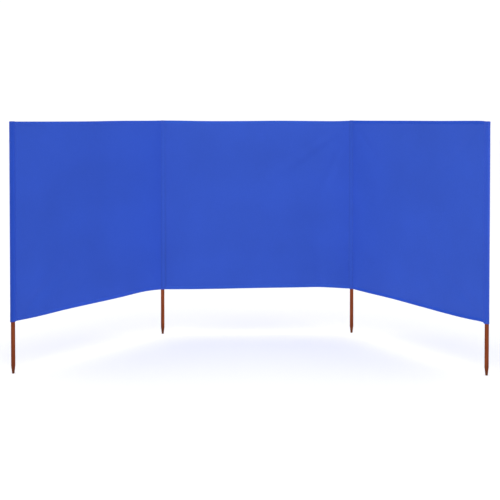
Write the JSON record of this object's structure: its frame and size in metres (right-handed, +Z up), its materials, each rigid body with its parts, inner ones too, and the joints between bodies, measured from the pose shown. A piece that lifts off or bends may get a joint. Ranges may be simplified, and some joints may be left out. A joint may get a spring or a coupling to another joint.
{
  "type": "beach windbreak",
  "caption": "Cloth beach windbreak in hemmed bays on round wooden poles with tapered tips, held in sewn sleeves; the outer bays fold about the inner poles to shelter a sitter.",
  "frame": {"origin": "centre of the flat end of the inner left pole's tip", "axes": "+X along the middle bay towards the inner right pole, -Y towards the sheltered side and the camera, +Z up along the poles"},
  "size_m": [2.8326, 1.189, 1.5008],
  "materials": {
    "stained_wood": "red-brown stain, satin",
    "blue_cloth": "plain woven, matt"
  },
  "bodies": {
    "middle_bay": {"inner_left_pole": "stained_wood", "inner_right_pole": "stained_wood", "inner_left_sleeve": "blue_cloth", "inner_right_sleeve": "blue_cloth", "middle_panel": "blue_cloth", "middle_top_hem": "blue_cloth", "middle_bottom_hem": "blue_cloth"},
    "left_bay": {"outer_left_pole": "stained_wood", "outer_left_sleeve": "blue_cloth", "left_fold_seam": "blue_cloth", "left_panel": "blue_cloth", "left_top_hem": "blue_cloth", "left_bottom_hem": "blue_cloth"},
    "right_bay": {"outer_right_pole": "stained_wood", "outer_right_sleeve": "blue_cloth", "right_fold_seam": "blue_cloth", "right_panel": "blue_cloth", "right_top_hem": "blue_cloth", "right_bottom_hem": "blue_cloth"}
  },
  "joints": [
    {"name": "left_bay_fold", "type": "hinge", "parent": "middle_bay", "child": "left_bay", "pos_m": [0, 0, 0], "axis": [0, 0, 1], "range_deg": [-170, 66]},
    {"name": "right_bay_fold", "type": "hinge", "parent": "middle_bay", "child": "right_bay", "pos_m": [1.333, 0, 0], "axis": [0, 0, 1], "range_deg": [-57.3, 178.7]}
  ]
}
